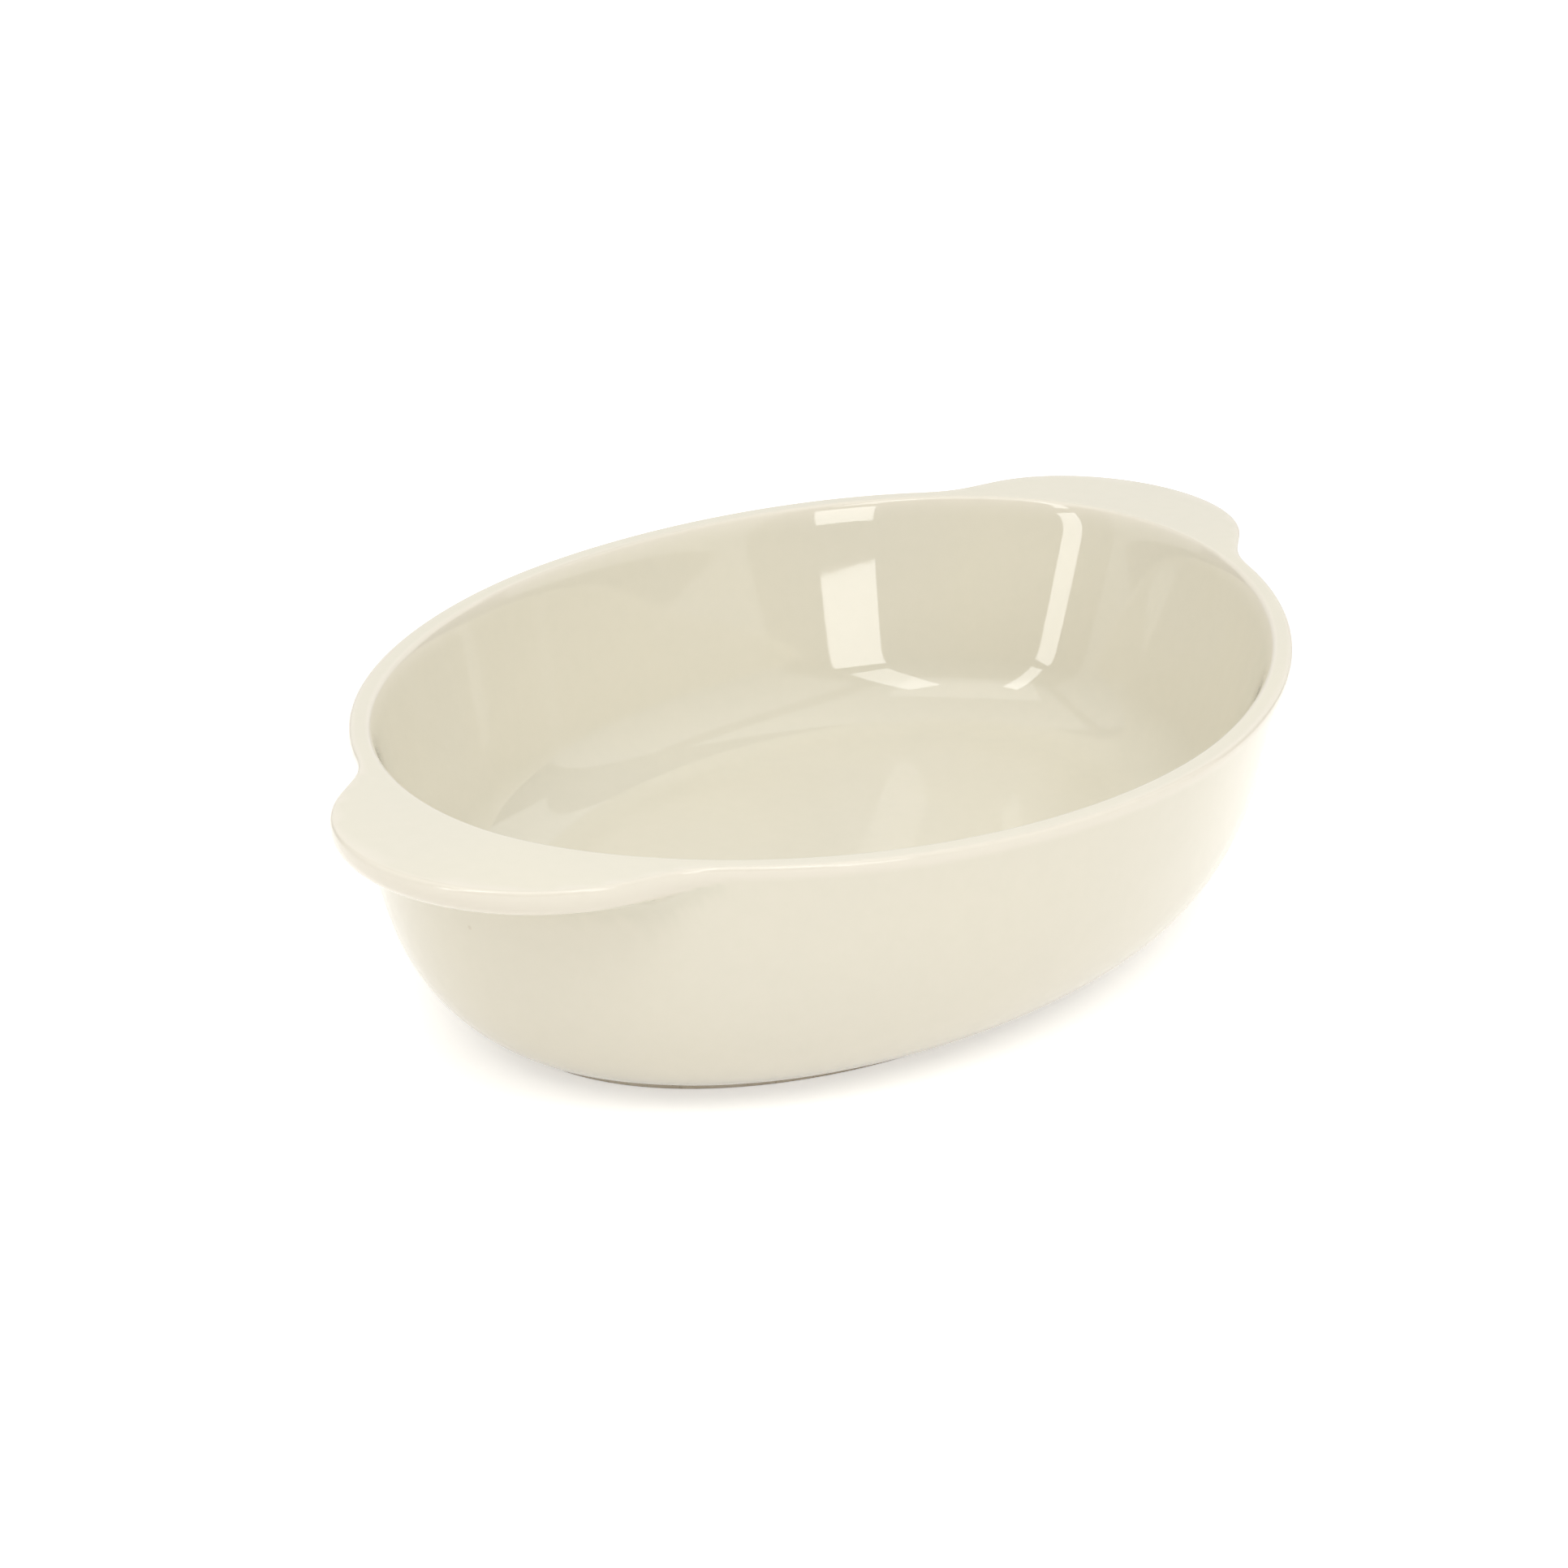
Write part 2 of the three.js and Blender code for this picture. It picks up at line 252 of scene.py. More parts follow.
@dataclass(frozen=True)
class WallSection:
    """The vessel's section, from the edge of its floor over the rim to its heel."""

    height: float = 54 * MM
    top_width: float = 2.5 * MM
    edge_radius: float = 0.9 * MM
    edge_turn: float = 10.0
    nose_radius: float = 3.7 * MM
    wall_draft: float = 9.0
    wall_run: float = 28 * MM
    heel_inset: float = 23.2 * MM
    heel_slope: float = 27.0
    heel_run: float = 19.5 * MM
    heel_height: float = 2.4 * MM
    inner_edge_radius: float = 1.2 * MM
    flare_turn: float = 27.0
    flare_radius: float = 15 * MM
    inner_draft: float = 15.0
    inner_radius: float = 300 * MM
    sweep_radius: float = 20 * MM
    floor_height: float = 8.0 * MM
    underslope: float = 4.0
    fillet: float = 6 * MM
    fillet_rounds: int = 8
    dense: int = 160

    def nose_centre(self, reach: float) -> np.ndarray:
        """The centre of the round under the outer edge, where a handle stands out this far."""
        drop = self.edge_radius + (self.nose_radius - self.edge_radius) * heading(self.edge_turn)[1]
        return np.array([self.nose_radius - reach, self.height - drop])

    def edge_centre(self, reach: float) -> np.ndarray:
        """The centre of the small round on the outer edge."""
        step = self.nose_radius - self.edge_radius
        return self.nose_centre(reach) + step * heading(180 - self.edge_turn)

    def inner_edge_centre(self) -> np.ndarray:
        """The centre of the small round on the inner edge."""
        return np.array([self.edge_radius + self.top_width, self.height - self.inner_edge_radius])

    def wall_top(self) -> np.ndarray:
        """The outer wall's highest point, where the rim's round begins."""
        return self.nose_centre(0) - self.nose_radius * heading(self.wall_draft)

    def heel_turn(self) -> np.ndarray:
        """The point towards which the outer wall runs before it turns in to the heel."""
        return self.heel() + self.heel_run * heading(180 - self.heel_slope)

    def heel(self) -> np.ndarray:
        """The outer wall's lowest point."""
        return np.array([self.heel_inset, self.heel_height])

    def outer_wall(self) -> np.ndarray:
        """The outer wall from the rim's roll down to the heel."""
        top = self.wall_top()
        down = heading(self.wall_draft - 90)
        controls = [top, top + self.wall_run * down, self.heel_turn(), self.heel()]
        return bezier_path(controls, self.dense)

    def inside(self) -> np.ndarray:
        """The inside from the edge of the floor up over the flare to the flat top of the rim."""
        edge_centre = self.inner_edge_centre()
        draft, turn = self.inner_draft, self.flare_turn
        flare_centre = edge_centre + (self.inner_edge_radius - self.flare_radius) * heading(turn)
        flare = arc_path(flare_centre, self.flare_radius, draft, turn, self.dense)
        roll = arc_path(edge_centre, self.inner_edge_radius, turn, 90, self.dense)
        wall_centre = flare[0] + self.inner_radius * heading(draft)
        step = self.inner_radius - self.sweep_radius
        drop = wall_centre[1] - self.floor_height - self.sweep_radius
        lean = math.degrees(math.asin(drop / step))
        sweep_centre = wall_centre - step * heading(lean)
        sweep = arc_path(sweep_centre, self.sweep_radius, 270, 180 + lean, self.dense)
        wall = arc_path(wall_centre, self.inner_radius, 180 + lean, 180 + draft, self.dense)
        return np.concatenate([sweep, wall, flare, roll])

    def fillet_under(
        self, centre: np.ndarray, wall: np.ndarray
    ) -> tuple[np.ndarray, float, float]:
        """The fillet between a handle's nose and the curved wall, closer with each round.

        Args:
            centre: The centre of the nose.
            wall: The outer wall's path.

        Returns:
            The fillet's centre, the angle at which the nose ends, and the wall's lean where the
            fillet touches it.
        """
        apart = self.nose_radius + self.fillet
        steps = np.diff(wall, axis=0)
        leans = np.degrees(np.arctan2(steps[:, 0], -steps[:, 1]))
        touch, lean = wall[0], self.wall_draft
        for _ in range(self.fillet_rounds):
            depth = float((centre - touch) @ heading(lean))
            widest = math.radians(90 - self.underslope - lean)
            ratio = (depth + self.fillet) / apart
            bend = min(math.acos(min(1.0, max(-1.0, ratio))), widest)
            end = 180 + lean + math.degrees(bend)
            run = 0.0
            if bend >= widest:
                run = (apart * math.cos(bend) - self.fillet - depth) / math.sin(bend)
            fillet_centre = centre + apart * heading(end) + run * heading(end + 90)
            low = float((fillet_centre + self.fillet * heading(lean))[1])
            touch = np.array([np.interp(-low, -wall[:, 1], wall[:, 0]), low])
            lean = float(np.interp(-low, -wall[1:, 1], leans))
        return fillet_centre, end, lean

    def outside(self, reach: float) -> np.ndarray:
        """The outside from the flat top of the rim down to the heel.

        Args:
            reach: How far a handle stands out past the rim here.

        Returns:
            The path over the handle's top, its nose and its fillet, and down the wall.
        """
        centre = self.nose_centre(reach)
        edge = self.edge_centre(reach)
        wall = self.outer_wall()
        fillet_centre, end, lean = self.fillet_under(centre, wall)
        inner_end = np.array([self.inner_edge_centre()[0], self.height])
        outer_end = np.array([edge[0], self.height])
        top = np.linspace(inner_end, outer_end, self.dense)
        corner = arc_path(edge, self.edge_radius, 90, 180 - self.edge_turn, self.dense)
        roll = arc_path(centre, self.nose_radius, 180 - self.edge_turn, end, self.dense)
        fillet = arc_path(fillet_centre, self.fillet, end - 180, lean, self.dense)
        below = wall[wall[:, 1] < fillet[-1, 1]]
        return np.concatenate([top, corner, roll, fillet, below])


def deselect_all() -> None:
    """Nothing is selected, so that an operator acts only on what is made next."""
    bpy.ops.object.select_all(action="DESELECT")


def spin_section(
    name: str, points: np.ndarray, glaze_and_painted_light_depths: np.ndarray | None, closed: bool
) -> bpy.types.Object:
    """A mesh spun round Z from a section, whose points are then set to their places turn by turn.

    Args:
        name: The new object's name.
        points: The places, by point of the section and by turn.
        glaze_and_painted_light_depths: The glaze's depth at each place, which also sets a painted
            highlight on edges and a painted shade in hollows, or None.
        closed: Whether the section is a loop, or else its two end rings are filled.

    Returns:
        The new object, with its faces pointing outwards.
    """
    count, turns, _ = points.shape
    deselect_all()
    bpy.ops.mesh.primitive_circle_add(vertices=count, radius=1)
    piece = bpy.context.object
    piece.name = name
    piece.data.name = name
    bpy.ops.object.mode_set(mode="EDIT")
    sheet = bmesh.from_edit_mesh(piece.data)
    sheet.verts.ensure_lookup_table()
    ring_layer = sheet.verts.layers.int.new(Layer.RING.value)
    if not closed:
        loose = next(e for e in sheet.edges if {v.index for v in e.verts} == {0, count - 1})
        sheet.edges.remove(loose)
    for number, point in enumerate(sheet.verts):
        point[ring_layer] = number
        point.co = (np.hypot(*points[number, 0, :2]), 0.0, points[number, 0, 2])
    bmesh.update_edit_mesh(piece.data)
    bpy.ops.mesh.select_all(action="SELECT")
    bpy.ops.mesh.spin(steps=turns, angle=2 * math.pi, center=(0, 0, 0), axis=(0, 0, 1))
    bpy.ops.mesh.select_all(action="SELECT")
    bpy.ops.mesh.remove_doubles(threshold=MERGE_REACH)
    sheet = bmesh.from_edit_mesh(piece.data)
    ring_layer = sheet.verts.layers.int[Layer.RING.value]
    # The glaze's depth, which also sets painted highlight and painted shade.
    glaze_and_painted_light_layer = sheet.verts.layers.float.new(Layer.GLAZE_DEPTH.value)
    for point in sheet.verts:
        ring = point[ring_layer]
        turn = round(math.atan2(point.co.y, point.co.x) / (2 * math.pi) * turns) % turns
        point.co = points[ring, turn]
        point[glaze_and_painted_light_layer] = 0.0 if glaze_and_painted_light_depths is None else glaze_and_painted_light_depths[ring, turn]
    bmesh.update_edit_mesh(piece.data)
    if not closed:
        fill_ring(piece, 0, turns // QUARTERS)
        fill_ring(piece, count - 1, turns // QUARTERS)
    bpy.ops.mesh.select_all(action="SELECT")
    bpy.ops.mesh.normals_make_consistent(inside=False)
    bpy.ops.object.mode_set(mode="OBJECT")
    piece.data.attributes.remove(piece.data.attributes[Layer.RING.value])
    return piece


def fill_ring(piece: bpy.types.Object, ring: int, span: int) -> None:
    """Fills a spun ring with a grid of faces, in edit mode.

    Args:
        piece: The object.
        ring: The ring's number in its section.
        span: How many faces the grid has each way.
    """
    bpy.ops.mesh.select_mode(type="EDGE")
    bpy.ops.mesh.select_all(action="DESELECT")
    sheet = bmesh.from_edit_mesh(piece.data)
    ring_layer = sheet.verts.layers.int[Layer.RING.value]
    for edge in sheet.edges:
        edge.select = edge.is_boundary and all(point[ring_layer] == ring for point in edge.verts)
    bmesh.update_edit_mesh(piece.data)
    bpy.ops.mesh.fill_grid(span=span)


def smooth(piece: bpy.types.Object, levels: int) -> None:
    """Subdivides a piece and shades it smooth.

    Args:
        piece: The object.
        levels: How many times each face is divided.
    """
    deselect_all()
    piece.select_set(True)
    bpy.context.view_layer.objects.active = piece
    modifier = piece.modifiers.new("Smooth", "SUBSURF")
    modifier.levels = levels
    modifier.render_levels = levels
    bpy.ops.object.modifier_apply(modifier=modifier.name)
    bpy.ops.object.shade_smooth()


class NodeSheet:
    """A material's nodes, with short ways to add and join them."""

    def __init__(self, name: str) -> None:
        """Starts a material with its shader and its Object coordinates."""
        self.material = bpy.data.materials.new(name)
        self.material.use_nodes = True
        self.nodes = self.material.node_tree.nodes
        self.shader = self.nodes["Principled BSDF"]
        self.place = self.add("ShaderNodeTexCoord").outputs["Object"]

    def add(self, kind: str, **values: object) -> bpy.types.Node:
        """Adds a node.

        Args:
            kind: The node's type.
            values: Its settings, by name.

        Returns:
            The node.
        """
        node = self.nodes.new(kind)
        for name, value in values.items():
            setattr(node, name, value)
        return node

    def join(self, output: Socket, target: Socket) -> None:
        """Joins an output to an input."""
        self.material.node_tree.links.new(output, target)

    def noise(self, size: float, detail: float = 2.0, roughness: float = 0.5) -> Socket:
        """A noise pattern on the piece.

        Args:
            size: The size of its patches, in metres.
            detail: How many finer layers it has.
            roughness: How strong these are.

        Returns:
            The pattern's value.
        """
        node = self.add("ShaderNodeTexNoise")
        node.inputs["Scale"].default_value = 1 / size
        node.inputs["Detail"].default_value = detail
        node.inputs["Roughness"].default_value = roughness
        self.join(self.place, node.inputs["Vector"])
        return node.outputs["Fac"]

    def span(self, value: Socket, source: Span, target: Span) -> Socket:
        """Maps a value from one range to another, and clamps it.

        Args:
            value: The value.
            source: The range that it is read in.
            target: The range that it is given in.

        Returns:
            The mapped value.
        """
        node = self.add("ShaderNodeMapRange")
        node.inputs["From Min"].default_value = source[0]
        node.inputs["From Max"].default_value = source[1]
        node.inputs["To Min"].default_value = target[0]
        node.inputs["To Max"].default_value = target[1]
        self.join(value, node.inputs["Value"])
        return node.outputs["Result"]

    def blend(self, share: Socket, first: object, second: object) -> Socket:
        """A mix of two colours.

        Args:
            share: The second colour's share.
            first: A colour, or a socket that gives one.
            second: A colour, or a socket that gives one.

        Returns:
            The mixed colour.
        """
        node = self.add("ShaderNodeMix", data_type="RGBA")
        self.join(share, node.inputs["Factor"])
        for name, colour in (("A", first), ("B", second)):
            target = next(s for s in node.inputs if s.name == name and s.type == "RGBA")
            if isinstance(colour, Socket):
                self.join(colour, target)
            else:
                target.default_value = (*colour, 1.0)
        return next(s for s in node.outputs if s.type == "RGBA")

    def both(self, first: Socket, second: Socket, operation: str) -> Socket:
        """Two values put together by a sum, a product or another operation."""
        node = self.add("ShaderNodeMath", operation=operation)
        self.join(first, node.inputs[0])
        self.join(second, node.inputs[1])
        return node.outputs["Value"]

    def bump(self, height: Socket, depth: float, under: Socket | None = None) -> Socket:
        """A bumped normal.

        Args:
            height: The relief, from 0 to 1.
            depth: How deep the relief is, in metres.
            under: A normal that it is laid over, or None.

        Returns:
            The normal.
        """
        node = self.add("ShaderNodeBump")
        node.inputs["Distance"].default_value = depth
        self.join(height, node.inputs["Height"])
        if under is not None:
            self.join(under, node.inputs["Normal"])
        return node.outputs["Normal"]


@dataclass(frozen=True)
class CreamGlaze:
    """A glossy cream glaze, thinner and paler on edges and pooled and darker in hollows, with a few
    iron specks; the paler edges also stand in for a painted highlight and the darker hollows for a
    painted shade.
    """

    cream: Colour = (0.703, 0.666, 0.556)
    warm_cream: Colour = (0.72, 0.679, 0.557)
    # Paler glaze on edges, which is also a painted highlight, and darker glaze in hollows, which is
    # also a painted shade.
    thin_glaze_painted_highlight: Colour = (0.744, 0.696, 0.590)
    pooled_glaze_painted_shade: Colour = (0.672, 0.643, 0.526)
    speck: Colour = (0.57, 0.50, 0.38)
    gloss_range: Span = (0.025, 0.05)
    gloss_size: float = 20 * MM
    refraction: float = 1.52
    patch_size: float = 60 * MM
    mottle_size: float = 3 * MM
    mottle_detail: float = 3.0
    mottle_range: Span = (-0.12, 0.12)
    wave_size: float = 14 * MM
    wave_depth: float = 0.014 * MM
    peel_size: float = 1.6 * MM
    peel_depth: float = 0.0015 * MM
    speck_spacing: float = 13 * MM
    speck_radius: float = 0.022
    speck_rarity: float = 0.95
    speck_fade: float = 0.02
    speck_strength: float = 0.4
    relief_detail: float = 1.0

    def material(self) -> bpy.types.Material:
        """The glaze as a material."""
        sheet = NodeSheet("cream_glaze")
        patches = sheet.span(sheet.noise(self.patch_size), NOISE_CORE, WHOLE)
        colour = sheet.blend(patches, self.cream, self.warm_cream)
        layer = sheet.add("ShaderNodeAttribute", attribute_name=Layer.GLAZE_DEPTH.value)
        grain = sheet.noise(self.mottle_size, self.mottle_detail)
        mottle = sheet.span(grain, NOISE_SPREAD, self.mottle_range)
        depth = sheet.both(layer.outputs["Fac"], mottle, "ADD")
        # Thin glaze on edges is paler and pooled glaze in hollows darker; this also paints a
        # highlight on edges and shade in hollows.
        colour = sheet.blend(sheet.span(depth, (0.0, -1.0), WHOLE), colour, self.thin_glaze_painted_highlight)
        colour = sheet.blend(sheet.span(depth, (0.0, 1.0), WHOLE), colour, self.pooled_glaze_painted_shade)
        colour = sheet.blend(self.specks(sheet), colour, self.speck)
        sheet.join(colour, sheet.shader.inputs["Base Color"])
        gloss = sheet.span(sheet.noise(self.gloss_size), NOISE_SPREAD, self.gloss_range)
        sheet.join(gloss, sheet.shader.inputs["Roughness"])
        sheet.shader.inputs["IOR"].default_value = self.refraction
        swell = sheet.noise(self.wave_size, self.relief_detail)
        waves = sheet.bump(swell, self.wave_depth)
        pores = sheet.noise(self.peel_size, self.relief_detail)
        peel = sheet.bump(pores, self.peel_depth, waves)
        sheet.join(peel, sheet.shader.inputs["Normal"])
        return sheet.material

    def specks(self, sheet: NodeSheet) -> Socket:
        """A few iron specks in the glaze, as a mask."""
        cells = sheet.add("ShaderNodeTexVoronoi")
        cells.inputs["Scale"].default_value = 1 / self.speck_spacing
        sheet.join(sheet.place, cells.inputs["Vector"])
        edge = (self.speck_radius, self.speck_radius * 2)
        near = sheet.span(cells.outputs["Distance"], edge, (self.speck_strength, 0.0))
        tone = sheet.add("ShaderNodeSeparateColor")
        sheet.join(cells.outputs["Color"], tone.inputs["Color"])
        rare = (self.speck_rarity, self.speck_rarity + self.speck_fade)
        chosen = sheet.span(tone.outputs["Red"], rare, WHOLE)
        return sheet.both(near, chosen, "MULTIPLY")


@dataclass(frozen=True)
class BareClay:
    """Unglazed fired clay: matt, with a fine grain and a few darker grains."""

    pale: Colour = (0.74, 0.66, 0.54)
    dark: Colour = (0.66, 0.57, 0.45)
    grain: Colour = (0.42, 0.33, 0.23)
    roughness: Span = (0.82, 0.95)
    cloud_size: float = 12 * MM
    cloud_detail: float = 4.0
    grain_size: float = 0.7 * MM
    grain_edge: Span = (0.62, 0.72)
    grain_strength: float = 0.7
    grain_depth: float = 0.06 * MM

    def material(self) -> bpy.types.Material:
        """The clay as a material."""
        sheet = NodeSheet("bare_clay")
        clouds = sheet.noise(self.cloud_size, self.cloud_detail)
        colour = sheet.blend(sheet.span(clouds, NOISE_CORE, WHOLE), self.pale, self.dark)
        grains = sheet.noise(self.grain_size)
        spots = sheet.span(grains, self.grain_edge, (0.0, self.grain_strength))
        colour = sheet.blend(spots, colour, self.grain)
        sheet.join(colour, sheet.shader.inputs["Base Color"])
        matt = sheet.span(clouds, NOISE_SPREAD, self.roughness)
        sheet.join(matt, sheet.shader.inputs["Roughness"])
        sheet.join(sheet.bump(grains, self.grain_depth), sheet.shader.inputs["Normal"])
        return sheet.material


def dress(
    piece: bpy.types.Object, finish: bpy.types.Material, nodes: tuple[str, ...]
) -> None:
    """Gives a piece its finish and its place in the frame.

    Args:
        piece: The object.
        finish: Its material.
        nodes: The nodes that it stands for.
    """
    piece.data.materials.clear()
    piece.data.materials.append(finish)
    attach(piece, BODY)
    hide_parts(*nodes)


@dataclass
class GlazedShell:
    """The vessel and its two handles, under one glaze."""

    oval: RimOval = field(default_factory=RimOval)
    section: WallSection = field(default_factory=WallSection)
    handle: TabHandle = field(default_factory=TabHandle)
    finish: CreamGlaze = field(default_factory=CreamGlaze)
    turns: int = 224
    turn_steps: int = 8
    inside_rings: int = 31
    outside_rings: int = 46
    bend_weight: float = 13 * MM
    outline_weight: float = 60 * MM
    flat_shares: tuple[float, ...] = (0.6, 0.9)
    full_bend: float = 250.0
    smooth_levels: int = 1

    def section_at(self, turn: float, reach: float) -> tuple[np.ndarray, np.ndarray]:
        """The shell's points at a turn, from its floor over the rim to its underside.

        Args:
            turn: The turn round the dish, in radians.
            reach: How far a handle stands out there.

        Returns:
            The points, and the glaze's depth at each: below nothing on edges, where it also paints
            a highlight, above it in hollows, where it also paints shade.
        """
        weight = self.bend_weight
        inner, inner_bend = spread_points(self.section.inside(), self.inside_rings, weight)
        outer, outer_bend = spread_points(self.section.outside(reach), self.outside_rings, weight)
        wall = self.oval.place(turn, np.concatenate([inner, outer[1:]]))
        bend = np.concatenate([inner_bend, outer_bend[1:]])
        shares = np.array(self.flat_shares)[:, None]
        scale = np.concatenate([shares, shares, np.ones_like(shares)], axis=1)
        floor = wall[0] * scale
        underside = (wall[-1] * scale)[::-1]
        flat = np.zeros(len(self.flat_shares))
        # Depth from the section's bend: edges get the thin, paler glaze, which is also a painted
        # highlight, and hollows get the pooled, darker glaze, which is also a painted shade.
        depth = np.concatenate([flat, np.clip(-bend / self.full_bend, -1, 1), flat])
        return np.concatenate([floor, wall, underside]), depth

    def spread_turns(self) -> np.ndarray:
        """Turns round the dish, closer together where its outline bends, alike in each quarter."""
        dense = np.linspace(0.0, math.pi / 2, self.turns * self.turn_steps + 1)
        x, y = self.oval.outline(dense, -self.handle.reach_past_rim(self.oval, dense))
        steps = np.hypot(np.diff(x), np.diff(y))
        bends = np.abs(np.diff(np.arctan2(np.diff(y), np.diff(x))))
        weights = steps + self.outline_weight * np.append(bends, bends[-1])
        run = np.concatenate([[0.0], np.cumsum(weights)])
        count = self.turns // QUARTERS
        first = np.interp(np.arange(count) * run[-1] / count, run, dense)
        second = math.pi - np.append(first[1:], math.pi / 2)[::-1]
        return np.concatenate([first, second, first + math.pi, second + math.pi])

    def build(self) -> bpy.types.Object:
        """Models the shell.

        Returns:
            The finished piece.
        """
        turns = self.spread_turns()
        reaches = self.handle.reach_past_rim(self.oval, turns)
        sections = [self.section_at(turn, reach) for turn, reach in zip(turns, reaches)]
        rings = np.stack([points for points, _ in sections], axis=1)
        glaze_and_painted_light_depths = np.stack([depth for _, depth in sections], axis=1)
        shell = spin_section("glazed_dish", rings, glaze_and_painted_light_depths, closed=False)
        smooth(shell, self.smooth_levels)
        nodes = ("dish_body", "left_handle", "right_handle")
        dress(shell, self.finish.material(), nodes)
        return shell


@dataclass
class ClayFoot:
    """The low unglazed ring that the dish stands on."""

    oval: RimOval = field(default_factory=RimOval)
    finish: BareClay = field(default_factory=BareClay)
    turns: int = 160
    inset: float = 26.2 * MM
    width: float = 7 * MM
    height: float = 2.4 * MM
    edge_radius: float = 0.7 * MM
    edge_steps: int = 3
    edge_angle: float = 60.0

    def build(self) -> bpy.types.Object:
        """Models the foot.

        Returns:
            The finished piece.
        """
        outer, inner, top = self.inset, self.inset + self.width, self.height
        corners = np.array([[outer, top], [outer, 0], [inner, 0], [inner, top]])
        turns = np.arange(self.turns) * 2 * math.pi / self.turns
        rings = np.stack([self.oval.place(turn, corners) for turn in turns], axis=1)
        foot = spin_section("clay_foot", rings, None, closed=True)
        bpy.ops.object.mode_set(mode="EDIT")
        bpy.ops.mesh.select_mode(type="EDGE")
        bpy.ops.mesh.select_all(action="DESELECT")
        sheet = bmesh.from_edit_mesh(foot.data)
        for edge in sheet.edges:
            low = all(point.co.z < self.height / 2 for point in edge.verts)
            edge.select = low and edge.calc_face_angle(0.0) > math.radians(self.edge_angle)
        bmesh.update_edit_mesh(foot.data)
        bpy.ops.mesh.bevel(offset=self.edge_radius, segments=self.edge_steps, affect="EDGES")
        bpy.ops.object.mode_set(mode="OBJECT")
        bpy.ops.object.shade_smooth_by_angle(angle=math.radians(self.edge_angle))
        dress(foot, self.finish.material(), ("foot_ring",))
        return foot


@dataclass(frozen=True)
class Softbox:
    """A flat soft light that faces the dish."""

    name: str
    azimuth: float
    elevation: float
    distance: float
    width: float
    height: float
    radiance: float
    roll: float = 0.0

    def light(self, aim: Vector) -> None:
        """Adds the light.

        Args:
            aim: The point that it faces.
        """
        azimuth, elevation = math.radians(self.azimuth), math.radians(self.elevation)
        away = Vector(
            (
                math.sin(azimuth) * math.cos(elevation),
                -math.cos(azimuth) * math.cos(elevation),
                math.sin(elevation),
            )
        )
        facing = (-away).to_track_quat("-Z", "Y").to_matrix()
        turn = facing @ Matrix.Rotation(math.radians(self.roll), 3, "Z")
        place = aim + away * self.distance
        bpy.ops.object.light_add(type="AREA", location=place, rotation=turn.to_euler())
        lamp = bpy.context.object
        lamp.name = self.name
        lamp.visible_camera = False
        lamp.data.shape = "RECTANGLE"
        lamp.data.size = self.width
        lamp.data.size_y = self.height
        lamp.data.energy = WATTS_PER_RADIANCE * self.radiance * self.width * self.height


@dataclass(frozen=True)
class PhotoCamera:
    """The camera at the photograph's view."""

    place: Place = (-0.526349, -0.314261, 0.281649)
    aim: Place = (-0.006116, 0.009063, 0.026720)
    roll: float = 2.1698
    lens: float = 74.333
    sensor: float = 36.0
    nearest: float = 10 * MM

    def add(self) -> None:
        """Adds the camera and makes it the scene's."""
        direction = Vector(self.aim) - Vector(self.place)
        level = direction.to_track_quat("-Z", "Y").to_matrix()
        turn = level @ Matrix.Rotation(math.radians(self.roll), 3, "Z")
        bpy.ops.object.camera_add(location=self.place, rotation=turn.to_euler())
        camera = bpy.context.object
        camera.name = "photo_camera"
        camera.data.lens = self.lens
        camera.data.sensor_width = self.sensor
        camera.data.clip_start = self.nearest
        bpy.context.scene.camera = camera


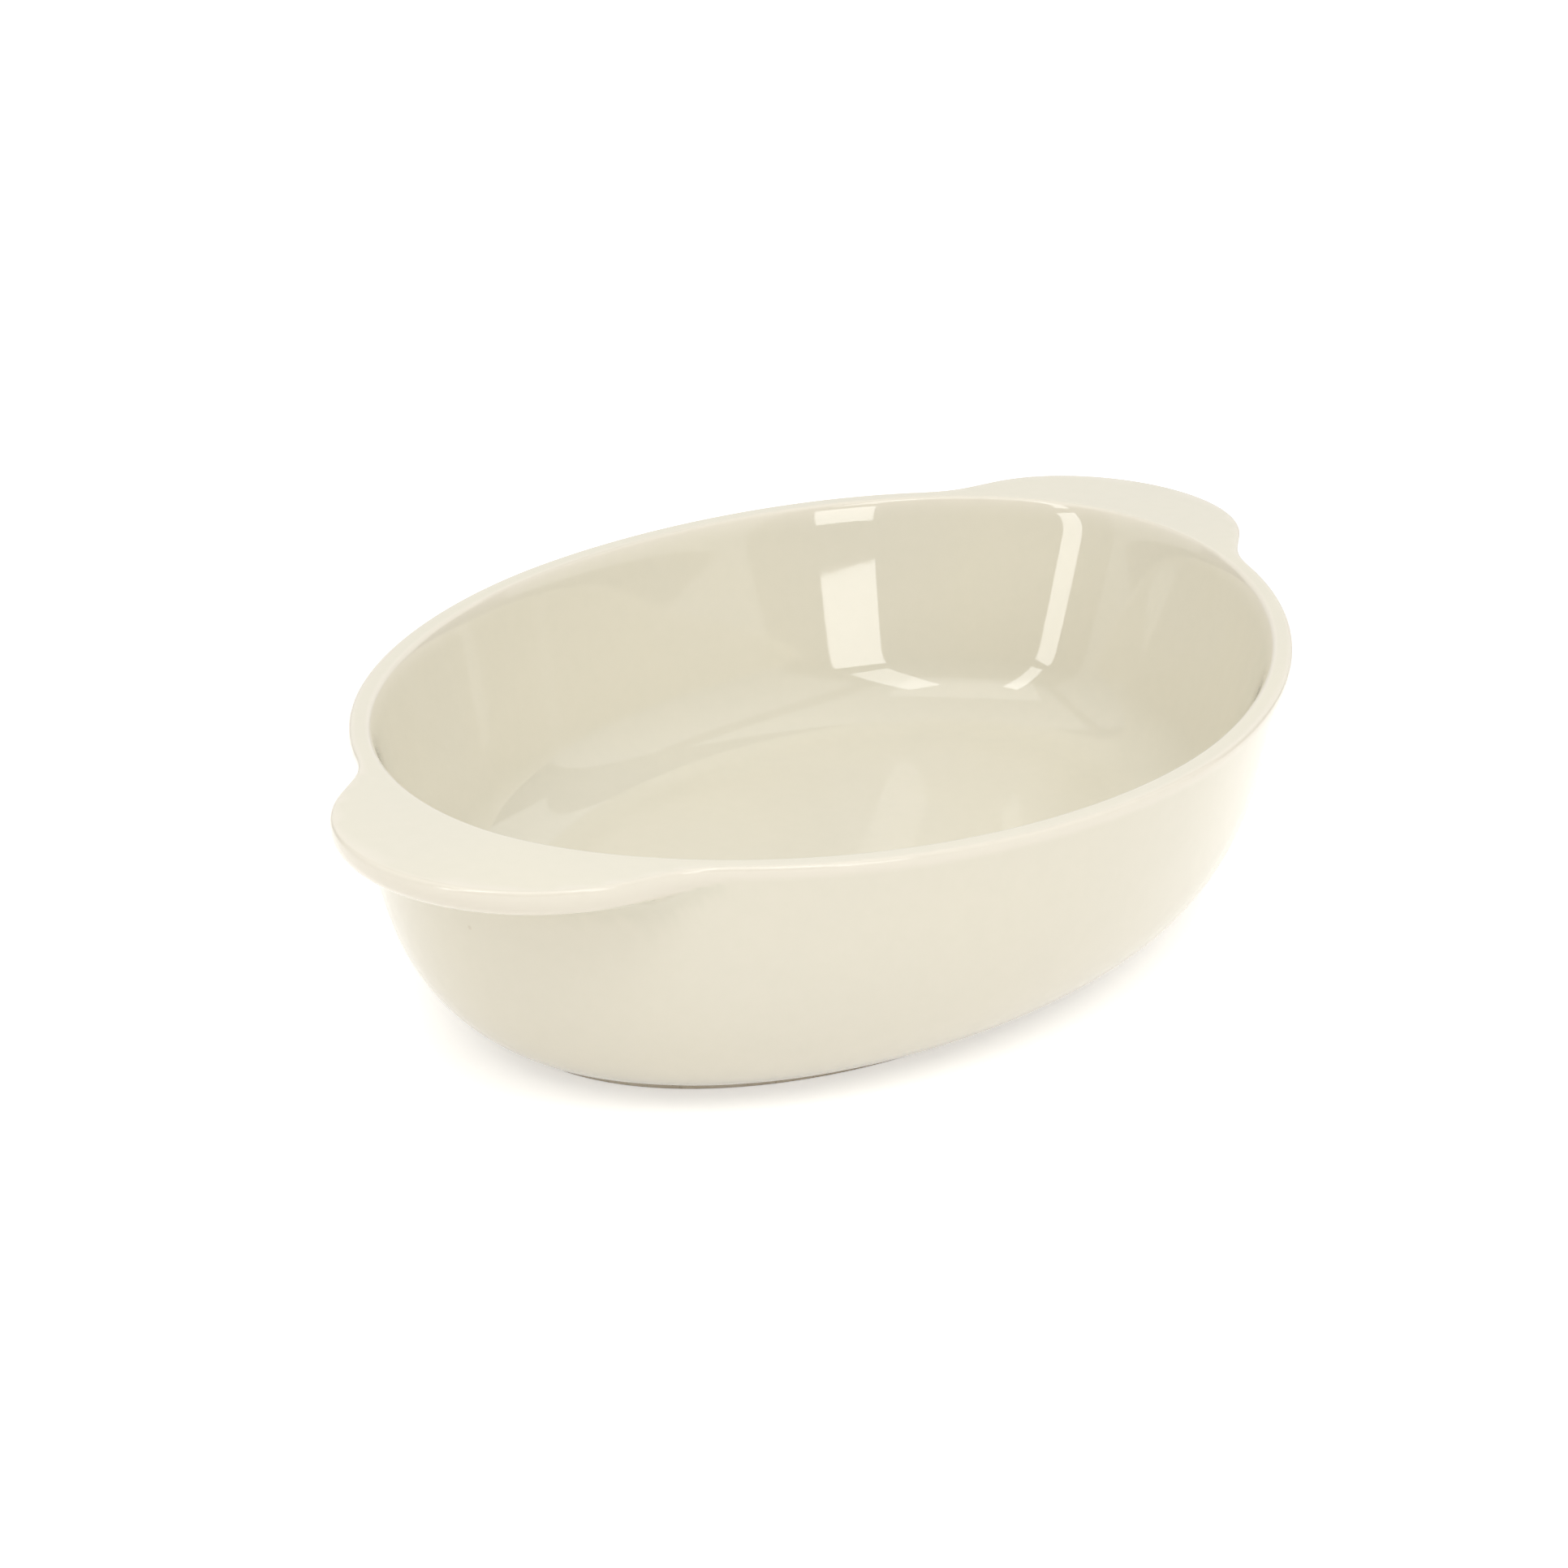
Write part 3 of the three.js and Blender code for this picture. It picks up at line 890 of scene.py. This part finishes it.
@dataclass
class Studio:
    """A white table and plain soft light."""

    aim: Place = (0.0, 0.0, 0.03)
    floor_size: float = 6.0
    floor_colour: Colour = (0.92, 0.905, 0.885)
    floor_glow: float = 0.42
    room_light: float = 0.435
    room_gloss: float = 0.12
    boxes: tuple[Softbox, ...] = (
        Softbox("right_low_box", -14.0, 19.55, 1.24, 0.305, 0.3135, 4.1, -3.0),
        Softbox("right_high_box", -17.0, 48.0, 1.22, 0.24, 0.604, 3.0, 10.5),
        Softbox("left_low_box", -97.5, 14.1, 1.25, 0.21, 0.45, 4.0, -20.0),
        Softbox("left_high_box", -89.1, 45.8, 1.23, 0.155, 0.715, 3.7, -9.0),
        Softbox("front_panel", -59.0, 66.0, 1.4, 1.2, 0.7, 0.9),
        Softbox("overhead_panel", -59.0, 89.0, 1.3, 1.6, 1.6, 0.6),
        Softbox("back_panel", 121.0, 22.0, 1.6, 2.6, 1.0, 0.53),
        Softbox("right_panel", 32.0, 30.0, 1.6, 1.6, 1.3, 0.54),
        Softbox("left_panel", -150.0, 30.0, 1.6, 1.6, 1.3, 0.48),
    )

    def seen_share(self, nodes: bpy.types.Nodes, links: bpy.types.NodeLinks) -> Socket:
        """Whether a ray comes from the camera, from a gloss or through glass.

        Args:
            nodes: The tree's nodes.
            links: The tree's links.

        Returns:
            1 for such a ray, and 0 for one that lights a surface.
        """
        path = nodes.new("ShaderNodeLightPath")
        share = path.outputs["Is Camera Ray"]
        for name in ("Is Glossy Ray", "Is Transmission Ray"):
            larger = nodes.new("ShaderNodeMath")
            larger.operation = "MAXIMUM"
            links.new(share, larger.inputs[0])
            links.new(path.outputs[name], larger.inputs[1])
            share = larger.outputs["Value"]
        return share

    def add_floor(self) -> None:
        """Adds the white table top, which glows a little to the eye and keeps the dish's shadow."""
        deselect_all()
        bpy.ops.mesh.primitive_plane_add(size=self.floor_size)
        floor = bpy.context.object
        floor.name = "table_top"
        material = bpy.data.materials.new("white_table")
        material.use_nodes = True
        nodes, links = material.node_tree.nodes, material.node_tree.links
        nodes.remove(nodes["Principled BSDF"])
        paint = nodes.new("ShaderNodeBsdfDiffuse")
        paint.inputs["Color"].default_value = (*self.floor_colour, 1.0)
        glow = nodes.new("ShaderNodeEmission")
        share = nodes.new("ShaderNodeMath")
        share.operation = "MULTIPLY"
        share.inputs[1].default_value = self.floor_glow
        links.new(self.seen_share(nodes, links), share.inputs[0])
        links.new(share.outputs["Value"], glow.inputs["Strength"])
        mix = nodes.new("ShaderNodeAddShader")
        links.new(paint.outputs["BSDF"], mix.inputs[0])
        links.new(glow.outputs["Emission"], mix.inputs[1])
        from_below = nodes.new("ShaderNodeNewGeometry")
        clear = nodes.new("ShaderNodeBsdfTransparent")
        one_sided = nodes.new("ShaderNodeMixShader")
        links.new(from_below.outputs["Backfacing"], one_sided.inputs["Fac"])
        links.new(mix.outputs["Shader"], one_sided.inputs[1])
        links.new(clear.outputs["BSDF"], one_sided.inputs[2])
        links.new(one_sided.outputs["Shader"], nodes["Material Output"].inputs["Surface"])
        floor.data.materials.append(material)

    def light_room(self) -> None:
        """Lights the room evenly, and shows it white."""
        world = bpy.data.worlds.new("white_room")
        bpy.context.scene.world = world
        world.use_nodes = True
        nodes, links = world.node_tree.nodes, world.node_tree.links
        path = nodes.new("ShaderNodeLightPath")
        strength = self.room_light
        for name, seen in (("Is Glossy Ray", self.room_gloss), ("Is Camera Ray", 1.0)):
            choice = nodes.new("ShaderNodeMapRange")
            choice.inputs["To Max"].default_value = seen
            if isinstance(strength, float):
                choice.inputs["To Min"].default_value = strength
            else:
                links.new(strength, choice.inputs["To Min"])
            links.new(path.outputs[name], choice.inputs["Value"])
            strength = choice.outputs["Result"]
        background = nodes["Background"]
        background.inputs["Color"].default_value = (1.0, 1.0, 1.0, 1.0)
        links.new(strength, background.inputs["Strength"])

    def build(self) -> None:
        """Adds the table, the lights and the room."""
        self.add_floor()
        self.light_room()
        for box in self.boxes:
            box.light(Vector(self.aim))
        bpy.context.scene.view_settings.view_transform = "Standard"


def main() -> None:
    """Builds the dish's pieces, the studio and the camera."""
    logging.basicConfig(level=logging.INFO, format="%(name)s: %(message)s")
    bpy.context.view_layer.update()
    for builder in (GlazedShell(), ClayFoot()):
        piece = builder.build()
        LOG.info("%s has %d faces", piece.name, len(piece.data.polygons))
    Studio().build()
    PhotoCamera().add()


if __name__ == "__main__":
    main()
